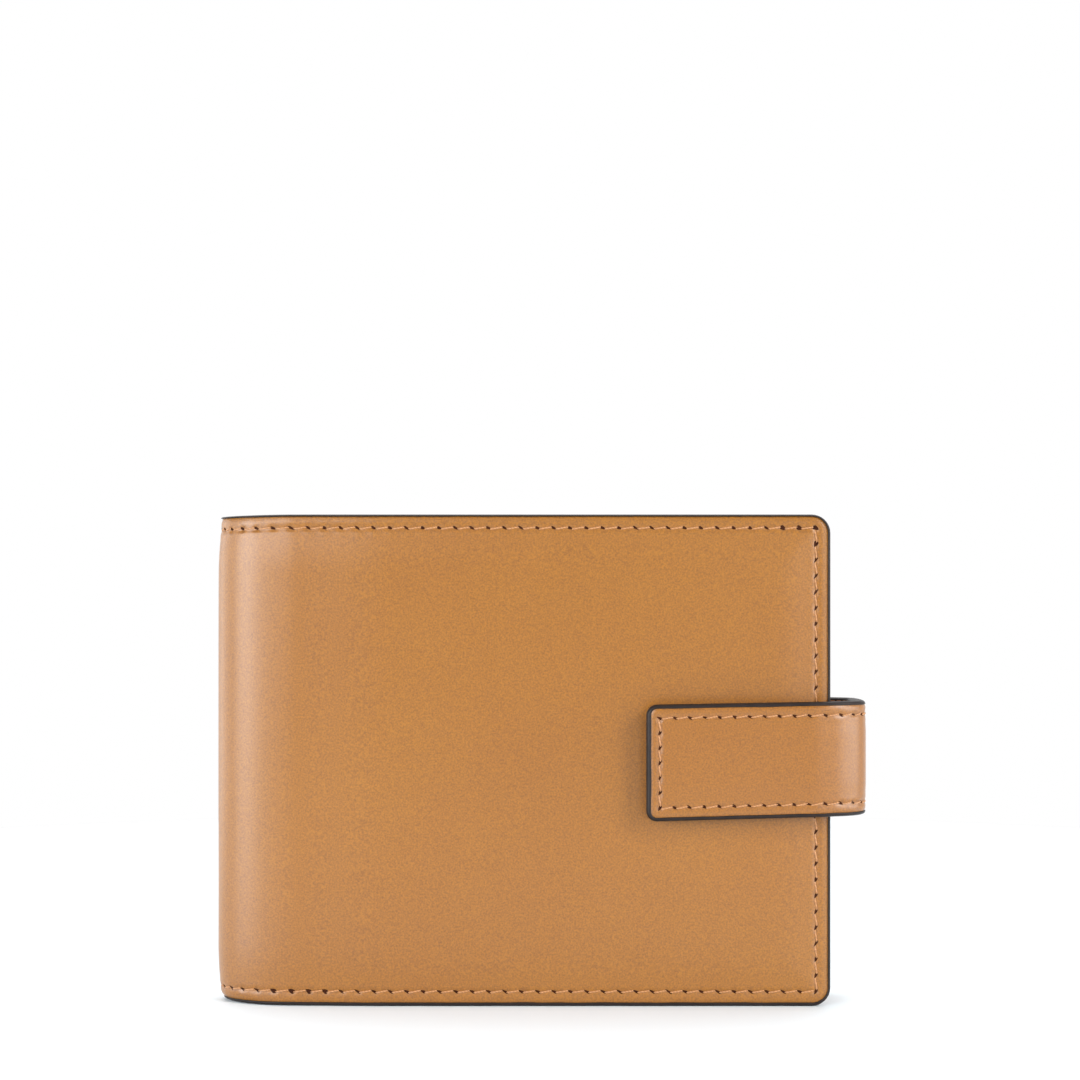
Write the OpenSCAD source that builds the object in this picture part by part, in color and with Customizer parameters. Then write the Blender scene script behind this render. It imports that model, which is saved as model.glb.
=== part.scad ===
// Trifold leather wallet, closed and standing on its lower long edge.
// X runs along the wallet, the fold at -X and the free edge at +X.
// Y runs through it, the front cover at -Y and the back cover at +Y. Z is up.
// The origin is the bottom centre of the whole wallet.
// All layers of a half are described by their depth below that half's outer face.

/* [Body] */
// Closed width, from the fold to the free edge
body_w = 116; // [110:1:125]
// Height of the covers
body_h = 92.4; // [90:0.1:100]
// Closed thickness between the covers' outer faces
body_t = 18; // [18:0.5:22]
// Radius of the covers' free corners
corner_r = 3.5; // [2:0.5:6]

/* [Cover layers] */
// Thickness of the cover leather
cover_t = 1.2; // [1:0.1:1.2]
// Thickness of the board that stiffens a cover
board_t = 0.4; // [0.3:0.1:0.4]
// Thickness of the lining behind the board
lining_t = 0.6; // [0.5:0.1:0.6]
// Room for banknotes between the lining and the divider
note_gap = 0.8; // [0.5:0.1:0.8]
// Thickness of the divider that carries the card slots
divider_t = 0.8; // [0.6:0.1:0.8]
// Height of the divider's upper edge below the covers'
divider_drop = 5; // [3:1:8]
// Thickness of the painted bead along the covers' edges
bead_t = 0.8; // [0.4:0.1:1.2]

/* [Card slots] */
// Thickness of one slot's leather
slot_t = 0.7; // [0.5:0.1:0.7]
// Clearance between neighbouring slots
slot_gap = 0.2; // [0.1:0.05:0.2]
// Height of the rearmost slot's upper edge
slot_top = 78; // [74:1:82]
// Drop from one slot's edge to the next
slot_step = 12; // [8:1:12]

/* [Middle leaf] */
// Height of the leaf
leaf_h = 80; // [76:1:82]
// Thickness of the leaf
leaf_t = 2.6; // [2.2:0.1:2.6]
// Width of the leather frame round the window
frame_w = 9; // [7:1:12]

/* [Closing tab] */
// Width of the tab where it passes round the free edge
tab_w = 21.5; // [16:0.5:24]
// Extra width at the tab's free end
tab_flare = 0.4; // [0:0.1:4]
// How much lower the tab's upper edge is at its free end than at the bend
tab_drop = 0.6; // [0:0.1:2]
// Height of the tab's upper edge at the bend
tab_top = 57.5; // [50:0.1:60]
// Length of the tab that lies on the front cover
tab_len = 34.8; // [30:0.1:45]
// How far the tab's bend stands out past the free edge
tab_reach = 6.8; // [6:0.2:8]
// Thickness of the tab's outer leather
tab_leather_t = 1.2; // [1:0.1:1.4]
// Thickness of the tab's lining
tab_lining_t = 0.8; // [0.6:0.1:1]
// Gap that the press stud keeps between the tab and the front cover
snap_gap = 2; // [2:0.1:2.6]

/* [Press stud] */
// Diameter of the cap and the socket
snap_d = 12; // [10:0.5:13]
// Diameter of the stud's nub
nub_d = 4; // [3:0.5:4]

/* [Stitching] */
// Distance of the stitch line from a cover's edge
stitch_inset = 2.8; // [2.4:0.1:3.2]
// Spacing of the stitches
stitch_pitch = 3; // [2.6:0.1:3.6]
// Length of one stitch
stitch_len = 2.2; // [1.8:0.1:2.3]
// Diameter of the thread
thread_d = 0.6; // [0.4:0.05:0.8]

/* [Hidden] */
$fn = 96;

leather = "#bd7e4a";
leather_dark = "#a86e40";
lining_colour = "#8a5c3a";
thread = "#c89a66";
edge_paint = "#43372f";
board_grey = "#b9b2a4";
metal = "#b0a58c";
film = [0.85, 0.9, 0.92, 0.45];

far = 300;               // larger than any part, for cutting tools
hinge_gap = 0.3;         // gap between two bodies' layers at a fold
groove_t = 0.3;          // depth of the stitch groove, and of the stitches in it
groove_w = thread_d + 0.3;

// Where the body lies
left_x = -(body_w + tab_reach) / 2;
right_x = left_x + body_w;
fold_r = body_t / 2;
fold_x = left_x + fold_r;
mid_y = snap_gap / 2;
half_depth = fold_r + tab_leather_t + tab_lining_t + snap_gap / 2;

// Depths of the layers below a cover's outer face: [outer side, inner side]
cover_d = [0, cover_t];
board_d = [cover_t, cover_t + board_t];
lining_d = [board_d[1], board_d[1] + lining_t];
bead_d = [0, lining_d[1]];
divider_d = [lining_d[1] + note_gap, lining_d[1] + note_gap + divider_t];
function slot_d(i) = [for (k = [0, slot_t]) divider_d[1] + (i - 1) * (slot_t + slot_gap) + k];

// Insets of the layers from the body's edge
board_inset = 4.5;
divider_inset = 0.8;
slot_inset = 1.3;
slot_left_x = fold_x + 5.8;

// The leaf, about the mid-plane
leaf_x = [fold_x + 5.8, right_x - 6.2];
leaf_z = [4, 4 + leaf_h];
leaf_hinge_x = leaf_x[0] - 2.3;
frame_t = 0.7;
film_t = 0.2;
core_t = 0.5;
leaf_slot_t = 0.7;
core_y = [-0.1, -0.1 + core_t];
leaf_slot_h = 56;

// The tab
tab_t = tab_leather_t + tab_lining_t;
bend_r = tab_reach - 0.4;
bend_x = right_x + tab_reach - bend_r;
bend_y = half_depth - bend_r;
tab_bottom = tab_top - tab_w;
tab_end_x = right_x - tab_len;
end_drops = [tab_drop, tab_drop + tab_flare];   // of the front leg's upper and lower edge
tab_corner_r = 2;
tab_inset = 2.5;
snap_x = tab_end_x + 11;
snap_z = (tab_top + tab_bottom - tab_flare) / 2 - tab_drop * 0.7;
pin_r = 1.5;             // radius of the press stud's shanks
flange_r = 5;

// ---- Building blocks ----

module wedge(a0, a1) {
    polygon([[0, 0], [far * cos(a0), far * sin(a0)], [far * cos((a0 + a1) / 2), far * sin((a0 + a1) / 2)],
        [far * cos(a1), far * sin(a1)]]);
}

module ring_sector(r_out, r_in, a0, a1) {
    intersection() {
        difference() {
            circle(r_out);
            circle(r_in);
        }
        wedge(a0, a1);
    }
}

// Half of the angle that a hinge gap takes at the fold's outer face
fold_gap_a = asin(hinge_gap / 2 / fold_r);
bend_gap_a = asin(hinge_gap / 2 / bend_r);

// Plan outline of one layer of a half: flat from the free edge, then an eighth of the fold
module half_plan(d) {
    translate([fold_x, fold_r - d[1]]) square([right_x - fold_x, d[1] - d[0]]);
    translate([fold_x, 0]) ring_sector(fold_r - d[0], fold_r - d[1], 90, 135 - fold_gap_a);
}

// Outline in X and Z, open towards the fold, with two round free corners
module rounded_plate(inset, z0, z1, r) {
    x1 = right_x - inset;
    translate([-far, z0]) square([far + x1 - r, z1 - z0]);
    translate([x1 - r - 1, z0 + r]) square([r + 1, z1 - z0 - 2 * r]);
    for (z = [z0 + r, z1 - r]) translate([x1 - r, z]) circle(r);
}

module standing(t) {
    rotate([90, 0, 0]) linear_extrude(t, center = true) children();
}

// One layer of a half, in a frame whose Y = 0 is the wallet's mid-plane
module half_layer(d, inset, drop) {
    intersection() {
        linear_extrude(body_h) half_plan(d);
        standing(far) rounded_plate(inset, inset, body_h - max(inset, drop), max(corner_r - inset, 0.5));
    }
}

// The groove that the stitches lie in, round the three free edges
module half_groove() {
    a = stitch_inset - groove_w / 2;
    b = stitch_inset + groove_w / 2;
    intersection() {
        linear_extrude(body_h) half_plan([0, groove_t]);
        standing(far) difference() {
            rounded_plate(a, a, body_h - a, 1.2);
            rounded_plate(b, b, body_h - b, 0.6);
        }
    }
}

module half_bead() {
    difference() {
        half_layer(bead_d, 0, 0);
        standing(far) rounded_plate(bead_t, bead_t, body_h - bead_t, corner_r - bead_t);
    }
}

module on_back() {
    translate([0, mid_y, 0]) children();
}

module on_front() {
    translate([0, mid_y, 0]) mirror([0, 1, 0]) children();
}

module spine_layer(d, z0, z1) {
    translate([fold_x, mid_y, z0]) linear_extrude(z1 - z0)
        ring_sector(fold_r - d[0], fold_r - d[1], 135 + fold_gap_a, 225 - fold_gap_a);
}

module box(x, y, z) {
    translate([x[0], y[0], z[0]]) cube([x[1] - x[0], y[1] - y[0], z[1] - z[0]]);
}

// A stitch lying along X (or standing along Z), its outer side flush with Y = 0
module stitch(upright) {
    size = upright ? [thread_d, groove_t, stitch_len] : [stitch_len, groove_t, thread_d];
    translate([-size[0] / 2, -groove_t, -size[2] / 2]) cube(size);
}

// Stitch positions from a to b, evenly spaced
function spaced(a, b) =
    let (n = max(1, floor((b - a) / stitch_pitch)))
    [for (i = [0:n - 1]) a + (b - a) * (i + 0.5) / n];

module half_stitches() {
    line_x = right_x - stitch_inset;
    fold_angles = [for (s = spaced(0, fold_r * 45 * PI / 180)) s / fold_r * 180 / PI];
    for (z = [stitch_inset, body_h - stitch_inset]) {
        for (x = spaced(fold_x, line_x)) translate([x, fold_r, z]) stitch(false);
        for (a = fold_angles) translate([fold_x, 0, z]) rotate(a) translate([0, fold_r, 0]) stitch(false);
    }
    for (z = spaced(stitch_inset, body_h - stitch_inset)) translate([line_x, fold_r, z]) stitch(true);
}

module half_cover() {
    difference() {
        half_layer(cover_d, bead_t, 0);
        half_groove();
    }
}

module half_board() {
    box([fold_x, right_x - board_inset], [fold_r - board_d[1], fold_r - board_d[0]],
        [board_inset, body_h - board_inset]);
}

module half_slot(i) {
    d = slot_d(i);
    intersection() {
        box([slot_left_x, right_x], [fold_r - d[1], fold_r - d[0]], [0, slot_top - (i - 1) * slot_step]);
        standing(far) rounded_plate(slot_inset, slot_inset, body_h, 2);
    }
}

// Bore along Y for the stud's post
module snap_bore(r, y0, y1) {
    translate([snap_x, y1, snap_z]) rotate([90, 0, 0]) cylinder(r = r, h = y1 - y0);
}

// ---- Back half ----

module back_cover() {
    color(leather) on_back() half_cover();
}

module back_board() {
    color(board_grey) on_back() half_board();
}

module back_lining() {
    color(lining_colour) on_back() half_layer(lining_d, bead_t, 0);
}

module back_divider() {
    color(leather_dark) on_back() half_layer(divider_d, divider_inset, divider_drop);
}

module back_card_slot(i) {
    color(leather_dark) on_back() half_slot(i);
}

module back_edge_bead() {
    color(edge_paint) on_back() half_bead();
}

module back_stitching() {
    color(thread) on_back() half_stitches();
}

// The root half of the strip that the leaf swings on: a flange on the divider and a web forward
module leaf_hinge_strip() {
    divider_y = mid_y + fold_r - divider_d[1];
    web_x = leaf_hinge_x + core_t / 2;
    color(leather_dark) {
        box([fold_x, web_x], [divider_y - core_t, divider_y], leaf_z);
        box([web_x - core_t, web_x], [mid_y + core_y[1] + hinge_gap / 2, divider_y - core_t], leaf_z);
    }
}

// ---- Spine ----

module spine_cover() {
    a = stitch_inset - groove_w / 2;
    color(leather) difference() {
        spine_layer(cover_d, bead_t, body_h - bead_t);
        for (z = [a, body_h - a - groove_w]) spine_layer([0, groove_t], z, z + groove_w);
    }
}

module spine_lining() {
    color(lining_colour) spine_layer(lining_d, bead_t, body_h - bead_t);
}

module spine_divider() {
    color(leather_dark) spine_layer(divider_d, divider_inset, body_h - divider_drop);
}

module spine_edge_bead() {
    color(edge_paint) {
        spine_layer(bead_d, 0, bead_t);
        spine_layer(bead_d, body_h - bead_t, body_h);
    }
}

module spine_stitching() {
    angles = [for (s = spaced(0, fold_r * PI / 2)) 45 + s / fold_r * 180 / PI];
    color(thread) for (z = [stitch_inset, body_h - stitch_inset], a = angles)
        translate([fold_x, mid_y, z]) rotate(a) translate([0, fold_r, 0]) stitch(false);
}

// ---- Front half ----

module front_cover() {
    color(leather) difference() {
        on_front() half_cover();
        snap_bore(pin_r, mid_y - fold_r - 1, mid_y - fold_r + cover_t + 1);
    }
}

module front_board() {
    color(board_grey) difference() {
        on_front() half_board();
        snap_bore(flange_r, mid_y - fold_r, mid_y);
    }
}

module front_lining() {
    color(lining_colour) on_front() half_layer(lining_d, bead_t, 0);
}

module front_divider() {
    color(leather_dark) on_front() half_layer(divider_d, divider_inset, divider_drop);
}

module front_card_slot(i) {
    color(leather_dark) on_front() half_slot(i);
}

module front_edge_bead() {
    color(edge_paint) on_front() half_bead();
}

module front_stitching() {
    color(thread) on_front() half_stitches();
}

// The stud's base and nub, on the front cover's outer face
module snap_stud() {
    y = mid_y - fold_r;
    color(metal) {
        snap_bore(snap_d / 2 - 0.5, y - 0.5, y);
        snap_bore(nub_d / 2 - 0.3, y - 1.1, y - 0.5);
        snap_bore(nub_d / 2, y - 1.5, y - 1.1);
    }
}

// The stud's post, through the cover, and its flange in the board
module snap_post() {
    y = mid_y - fold_r;
    color(metal) {
        snap_bore(pin_r, y, y + cover_t);
        snap_bore(flange_r, y + cover_t, y + cover_t + board_t);
    }
}

// ---- Middle leaf ----

module leaf_panel(y0, t, z1) {
    translate([0, mid_y + y0 + t / 2, 0]) intersection() {
        box([leaf_x[0], right_x], [-t / 2, t / 2], [leaf_z[0], z1]);
        standing(far) rounded_plate(right_x - leaf_x[1], leaf_z[0], leaf_z[1], 3);
    }
}

module leaf_hinge_tongue() {
    color(leather_dark) translate([0, mid_y, 0])
        box([leaf_hinge_x + hinge_gap / 2, leaf_x[0]], core_y, leaf_z);
}

module leaf_core() {
    color(lining_colour) leaf_panel(core_y[0], core_t, leaf_z[1]);
}

module leaf_window_frame() {
    w = [leaf_x[0] + frame_w, leaf_x[1] - frame_w];
    z = [leaf_z[0] + frame_w, leaf_z[1] - frame_w - 4];
    r = 3;
    color(leather_dark) difference() {
        leaf_panel(-leaf_t / 2, frame_t, leaf_z[1]);
        translate([0, mid_y - leaf_t / 2 + frame_t / 2, 0]) standing(2) {
            translate([w[0] + r, z[0]]) square([w[1] - w[0] - 2 * r, z[1] - z[0]]);
            translate([w[0], z[0] + r]) square([w[1] - w[0], z[1] - z[0] - 2 * r]);
            for (x = [w[0] + r, w[1] - r], y = [z[0] + r, z[1] - r]) translate([x, y]) circle(r);
        }
    }
}

module leaf_window_film() {
    color(film) translate([0, mid_y - leaf_t / 2 + frame_t, 0])
        box([leaf_x[0] + 5, leaf_x[1] - 5], [0, film_t], [leaf_z[0] + 5, leaf_z[1] - 8]);
}

module leaf_card_slot() {
    color(leather_dark) leaf_panel(leaf_t / 2 - leaf_slot_t, leaf_slot_t, leaf_z[0] + leaf_slot_h);
}

// Stitches on both faces of the leaf, along its bottom and free side
module leaf_stitching() {
    z0 = leaf_z[0] + stitch_inset;
    x1 = leaf_x[1] - stitch_inset;
    color(thread) for (side = [[-leaf_t / 2 - 0.1, leaf_z[1] - 4], [leaf_t / 2 + 0.1, leaf_z[0] + leaf_slot_h]]) {
        y = mid_y + side[0] + (side[0] < 0 ? 0 : -0.1);
        for (x = spaced(leaf_x[0] + 2, x1 - 1)) box([x - stitch_len / 2, x + stitch_len / 2], [y, y + 0.1],
            [z0 - thread_d / 2, z0 + thread_d / 2]);
        for (z = spaced(z0, side[1])) box([x1 - thread_d / 2, x1 + thread_d / 2], [y, y + 0.1],
            [z - stitch_len / 2, z + stitch_len / 2]);
    }
}

// ---- Closing tab ----

// Outline of a leg in X and Z: round corners at its free end, both edges straight from there to the bend.
// drops = how much lower the upper and the lower edge are at the free end than at the bend
module tab_outline(inset, drops, r) {
    m = drops / (bend_x - tab_end_x);
    slant = [for (k = m) sqrt(1 + k * k)];
    x0 = tab_end_x + inset;
    function upper(x) = tab_top - m[0] * (bend_x - x) - inset * slant[0];
    function lower(x) = tab_bottom - m[1] * (bend_x - x) + inset * slant[1];
    high = upper(x0 + r) - r * slant[0];
    low = lower(x0 + r) + r * slant[1];
    polygon([[x0, low], [x0 + r + r * m[1] / slant[1], low - r / slant[1]], [bend_x, lower(bend_x)],
        [bend_x, upper(bend_x)], [x0 + r - r * m[0] / slant[0], high + r / slant[0]], [x0, high]]);
    for (z = [low, high]) translate([x0 + r, z]) circle(r);
}

// One layer of a leg, depth d below its outer face, in a frame whose Y = 0 is the bend's centre plane
module tab_leg(d, drops) {
    translate([0, half_depth - (d[0] + d[1]) / 2, 0]) standing(d[1] - d[0]) tab_outline(0, drops, tab_corner_r);
    tab_arc(d, bend_r, 90, 45 + bend_gap_a, [tab_bottom, tab_top]);
}

module tab_arc(d, r, a0, a1, z) {
    translate([bend_x, half_depth - r, z[0]]) linear_extrude(z[1] - z[0]) ring_sector(r - d[0], r - d[1], a1, a0);
}

// One layer of the bend: an eighth of a turn, a straight run, an eighth of a turn
module tab_bend(d, z) {
    for (side = [0, 1]) mirror([0, side, 0]) tab_arc(d, bend_r, 45 - bend_gap_a, 0, z);
    box([bend_x + bend_r - d[1], bend_x + bend_r - d[0]], [-bend_y, bend_y], z);
}

module tab_groove(drops) {
    w = groove_w / 2;
    translate([0, half_depth - groove_t / 2, 0]) standing(groove_t) difference() {
        tab_outline(tab_inset - w, drops, 1);
        tab_outline(tab_inset + w, drops, 0.6);
    }
    for (z = [tab_bottom + tab_inset, tab_top - tab_inset])
        tab_arc([0, groove_t], bend_r, 90, 45 + bend_gap_a, [z - w, z + w]);
}

module tab_bend_groove() {
    w = groove_w / 2;
    for (z = [tab_bottom + tab_inset, tab_top - tab_inset]) tab_bend([0, groove_t], [z - w, z + w]);
}

module tab_leg_stitches(drops) {
    m = drops / (bend_x - tab_end_x);
    x0 = tab_end_x + tab_inset;
    y = half_depth;
    function upper(x) = tab_top - tab_inset - m[0] * (bend_x - x);
    function lower(x) = tab_bottom + tab_inset - m[1] * (bend_x - x);
    for (x = spaced(x0, bend_x)) {
        translate([x, y, upper(x)]) rotate([0, -atan(m[0]), 0]) stitch(false);
        translate([x, y, lower(x)]) rotate([0, -atan(m[1]), 0]) stitch(false);
    }
    for (z = spaced(lower(x0) + 0.4, upper(x0) - 0.4)) translate([x0, y, z]) stitch(true);
    for (z = [tab_bottom + tab_inset, tab_top - tab_inset])
        translate([bend_x, bend_y, z]) rotate(-22) translate([0, bend_r, 0]) stitch(false);
}

module tab_end_side() {
    mirror([0, 1, 0]) children();
}

module tab_root_leather() {
    color(leather) difference() {
        tab_leg([0, tab_leather_t], [0, 0]);
        tab_groove([0, 0]);
    }
}

module tab_root_lining() {
    color(lining_colour) tab_leg([tab_leather_t, tab_t], [0, 0]);
}

module tab_root_stitching() {
    color(thread) tab_leg_stitches([0, 0]);
}

module tab_bend_leather() {
    color(leather) difference() {
        tab_bend([0, tab_leather_t], [tab_bottom, tab_top]);
        tab_bend_groove();
    }
}

module tab_bend_lining() {
    color(lining_colour) tab_bend([tab_leather_t, tab_t], [tab_bottom, tab_top]);
}

module tab_bend_stitching() {
    color(thread) for (z = [tab_bottom + tab_inset, tab_top - tab_inset]) {
        for (y = spaced(-bend_y, bend_y)) translate([bend_x + bend_r, y, z]) rotate(-90) stitch(false);
        for (a = [-22, -158]) translate([bend_x, a > -90 ? bend_y : -bend_y, z])
            rotate(a > -90 ? -68 : -112) translate([0, bend_r, 0]) stitch(false);
    }
}

module tab_end_leather() {
    color(leather) difference() {
        tab_end_side() tab_leg([0, tab_leather_t], end_drops);
        tab_end_side() tab_groove(end_drops);
        snap_bore(snap_d / 2, -half_depth + tab_leather_t - 0.6, -half_depth + tab_leather_t + 1);
    }
}

module tab_end_lining() {
    color(lining_colour) difference() {
        tab_end_side() tab_leg([tab_leather_t, tab_t], end_drops);
        snap_bore(pin_r, -half_depth, -half_depth + tab_t + 1);
    }
}

module tab_end_stitching() {
    color(thread) tab_end_side() tab_leg_stitches(end_drops);
}

// The cap under the tab's outer leather, and its shank through the lining
module snap_cap() {
    y = -half_depth + tab_leather_t;
    color(metal) {
        snap_bore(snap_d / 2, y - 0.6, y);
        snap_bore(pin_r, y, y + tab_lining_t);
    }
}

// The socket on the tab's inner face, open towards the stud
module snap_socket() {
    y = -half_depth + tab_t;
    color(metal) difference() {
        snap_bore(snap_d / 2, y, y + 1.3);
        snap_bore(nub_d / 2 + 1.2, y + 0.2, y + 2);
    }
}

back_cover();
back_board();
back_lining();
back_divider();
back_card_slot(1);  // back_card_slot_1
back_card_slot(2);  // back_card_slot_2
back_card_slot(3);  // back_card_slot_3
back_card_slot(4);  // back_card_slot_4
back_edge_bead();
back_stitching();
leaf_hinge_strip();
tab_root_leather();
tab_root_lining();
tab_root_stitching();
spine_cover();
spine_lining();
spine_divider();
spine_edge_bead();
spine_stitching();
front_cover();
front_board();
front_lining();
front_divider();
front_card_slot(1);  // front_card_slot_1
front_card_slot(2);  // front_card_slot_2
front_card_slot(3);  // front_card_slot_3
front_card_slot(4);  // front_card_slot_4
front_edge_bead();
front_stitching();
snap_stud();
snap_post();
leaf_hinge_tongue();
leaf_core();
leaf_window_frame();
leaf_window_film();
leaf_card_slot();
leaf_stitching();
tab_bend_leather();
tab_bend_lining();
tab_bend_stitching();
tab_end_leather();
tab_end_lining();
tab_end_stitching();
snap_cap();
snap_socket();
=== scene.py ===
"""The looks of a leather trifold wallet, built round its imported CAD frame.

The covers and the tab are strips of leather. Each is described in its own coordinates: s runs from the
strip's free edge to its seam, z runs up, and depth goes inwards from its outer face. A panel turns those
into places, so that edges, stitches and linings follow the strip round its bend.
"""
import math

import bmesh
import bpy
import numpy as np
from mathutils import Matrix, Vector, noise


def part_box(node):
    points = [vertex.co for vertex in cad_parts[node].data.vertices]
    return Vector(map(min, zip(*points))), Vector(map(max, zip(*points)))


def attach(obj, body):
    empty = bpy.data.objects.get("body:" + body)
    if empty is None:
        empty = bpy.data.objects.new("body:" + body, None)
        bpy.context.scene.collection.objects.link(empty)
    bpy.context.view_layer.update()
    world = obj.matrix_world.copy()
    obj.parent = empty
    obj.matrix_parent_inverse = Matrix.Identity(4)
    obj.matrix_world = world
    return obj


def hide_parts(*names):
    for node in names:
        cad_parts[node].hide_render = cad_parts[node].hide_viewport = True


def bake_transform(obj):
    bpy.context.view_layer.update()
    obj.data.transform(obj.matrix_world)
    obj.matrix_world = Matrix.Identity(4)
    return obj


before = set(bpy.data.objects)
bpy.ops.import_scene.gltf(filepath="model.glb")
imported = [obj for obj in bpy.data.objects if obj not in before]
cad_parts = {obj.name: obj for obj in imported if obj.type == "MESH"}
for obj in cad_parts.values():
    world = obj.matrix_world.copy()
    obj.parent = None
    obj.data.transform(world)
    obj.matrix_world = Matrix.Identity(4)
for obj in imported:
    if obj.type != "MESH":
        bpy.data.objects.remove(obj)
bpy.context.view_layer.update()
MM = 0.001
SIDES = {1: "back", -1: "front"}  # a side's sign along Y, and its name

# ---- Sizes, from the frame ----

front_bead, back_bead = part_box("front_edge_bead"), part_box("back_edge_bead")
HEIGHT = front_bead[1].z
RIGHT = front_bead[1].x         # the free edge
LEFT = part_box("spine_edge_bead")[0].x  # the outside of the fold
FOLD_R = (back_bead[1].y - front_bead[0].y) / 2
MID_Y = (back_bead[1].y + front_bead[0].y) / 2
FOLD_X = LEFT + FOLD_R
FLAT = RIGHT - FOLD_X           # from the free edge to the CAD's fold
SEAM = FLAT + FOLD_R * math.pi / 2  # from the free edge to the middle of the fold
FOLD_START = FLAT - 7 * MM      # where the cover begins to curve towards the fold
CORNER_R = 3.5 * MM


def depths(node):
    """The depths of a back node's outer and inner side below the back cover's outer face."""
    low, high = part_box(node)
    return back_bead[1].y - high.y, back_bead[1].y - low.y


LEATHER_T = depths("back_board")[0]
LINING = (depths("back_board")[1], depths("back_board")[1] + 0.6 * MM)
EDGE_T = LINING[1]              # thickness at the painted edge: cover and lining
SLOTS = [depths(f"back_card_slot_{i}") for i in (1, 2, 3, 4)]
SLOT_TOPS = [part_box(f"back_card_slot_{i}")[1].z for i in (1, 2, 3, 4)]
SLOT_LOW, SLOT_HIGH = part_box("back_card_slot_1")
SLOT_S = (RIGHT - SLOT_HIGH.x, RIGHT - SLOT_LOW.x)
DIVIDER = (SLOTS[0][0] - 0.8 * MM, SLOTS[0][0])
DIVIDER_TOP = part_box("back_divider")[1].z
DIVIDER_INSET = 0.8 * MM        # how far the divider ends short of the cover's edge
NOTE_GAP = DIVIDER[0] - LINING[1]

tab_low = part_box("tab_end_leather")[0]
bend_low, bend_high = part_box("tab_bend_leather")
TAB_LEATHER_T = 1.2 * MM
TAB_T = TAB_LEATHER_T + 0.8 * MM  # with its lining
TAB_R = 6.4 * MM
TAB_X = bend_high.x - TAB_R
TAB_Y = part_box("tab_root_leather")[1].y - TAB_R
TAB_LEG = TAB_X - tab_low.x     # from its free end to the CAD's bend
TAB_SEAM = TAB_LEG + TAB_R * math.pi / 2 + TAB_Y
TAB_TOP = bend_high.z
TAB_W = bend_high.z - bend_low.z
TAB_CORNER_R = 2 * MM
TAB_TOP_DROP = 0.6 * MM         # how much lower its top is at the free end
TAB_LOW_DROP = bend_low.z - tab_low.z
TAB_ROOT_DROP = 0.45 * MM       # how much lower its top is on the back
TAB_EASE = 4 * MM               # how far before its bend it begins to curve

LEAF_LOW, LEAF_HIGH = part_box("leaf_window_frame")

# ---- Panels: from (s, z, depth) to a place ----

FOOT_TUCK, FOOT_REACH = 1.3 * MM, 2.4 * MM  # the foot's tuck at the fold, and its height
TOP_TUCK = 0.15 * MM            # the top's tuck at the fold
SLIMMER, SLIM_REACH = 0.08, 24 * MM  # the share of thickness lost towards the fold, and over what length
TOP_FALL = 0.4 * MM             # how much lower the top edge is at the fold


def smooth(t):
    """Goes smoothly from 0 to 1 as t does."""
    t = np.clip(t, 0, 1)
    return t * t * (3 - 2 * t)


class Panel:
    """A strip with a free edge at s = 0, two round corners there, and a seam at s = length."""

    def __init__(self, side, place, length, lean=1):
        self.side, self.place = side, place
        self.length, self.lean = length, lean       # lean: which way its stitches slant

    def at(self, s, z, depth):
        """The places of arrays of panel coordinates."""
        s, z, depth = np.broadcast_arrays(*(np.asarray(v, float) for v in (s, z, depth)))
        return self.place(self.side, s, z, depth)

    def point(self, s, z=0.0, depth=0.0):
        """The place of one point."""
        return Vector(self.at(s, z, depth).reshape(3))


def cover_place(side, s, z, depth):
    """A half of the body, which curves into the fold as a quarter of an ellipse."""
    turn = np.clip((s - FOLD_START) / (SEAM - FOLD_START), 0, 1)
    tuck = FOOT_TUCK * np.clip(1 - z / FOOT_REACH, 0, 1) ** 2 + TOP_TUCK * (z / HEIGHT) ** 8
    inner = depth + tuck * smooth(turn * 1.6 - 0.3)
    start_x = RIGHT - FOLD_START
    curved_x = start_x - (start_x - LEFT - inner) * np.sin(turn * math.pi / 2)
    x = np.where(s < FOLD_START, RIGHT - s, curved_x)
    slim = 1 - SLIMMER * smooth((s - FLAT + SLIM_REACH) / SLIM_REACH)
    y = MID_Y + side * (FOLD_R - inner) * np.cos(turn * math.pi / 2) * slim
    drop = TOP_FALL * smooth(turn)
    return np.stack((x, y, z * (1 - drop / HEIGHT)), -1)


def tab_place(side, s, z, depth):
    """A half of the tab: its leg, a quarter of an ellipse and half of the run past the free edge."""
    start, turn = TAB_LEG - TAB_EASE, TAB_EASE + TAB_R * math.pi / 2
    angle = np.clip((s - start) / turn, 0, 1) * math.pi / 2
    run = np.clip(s - start - turn, 0, None)
    radius = TAB_R - depth
    x = TAB_X - TAB_LEG + np.where(s < start, s, start + (TAB_EASE + radius) * np.sin(angle))
    y = side * (TAB_Y - run + radius * np.cos(angle))
    leg = np.clip(1 - s / TAB_LEG, 0, None) * (side < 0)
    back = smooth((y + TAB_Y) / (2 * TAB_Y + TAB_R))
    low = TAB_TOP - TAB_W - TAB_LOW_DROP * leg + 0.5 * TAB_ROOT_DROP * back
    high = TAB_TOP - TAB_TOP_DROP * leg - TAB_ROOT_DROP * back
    return np.stack((x, y, low + z / TAB_W * (high - low)), -1)


def leaf_place(side, s, z, depth):
    """The flat leaf: s from its free edge, depth from the front cover's side."""
    return np.stack((LEAF_HIGH.x - s, LEAF_LOW.y + depth, z), -1)


covers = {side: Panel(side, cover_place, SEAM) for side in SIDES}
tabs = {side: Panel(side, tab_place, TAB_SEAM, lean=-1) for side in SIDES}
leaf = Panel(-1, leaf_place, LEAF_HIGH.x - LEAF_LOW.x)


# ---- Meshes ----

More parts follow.
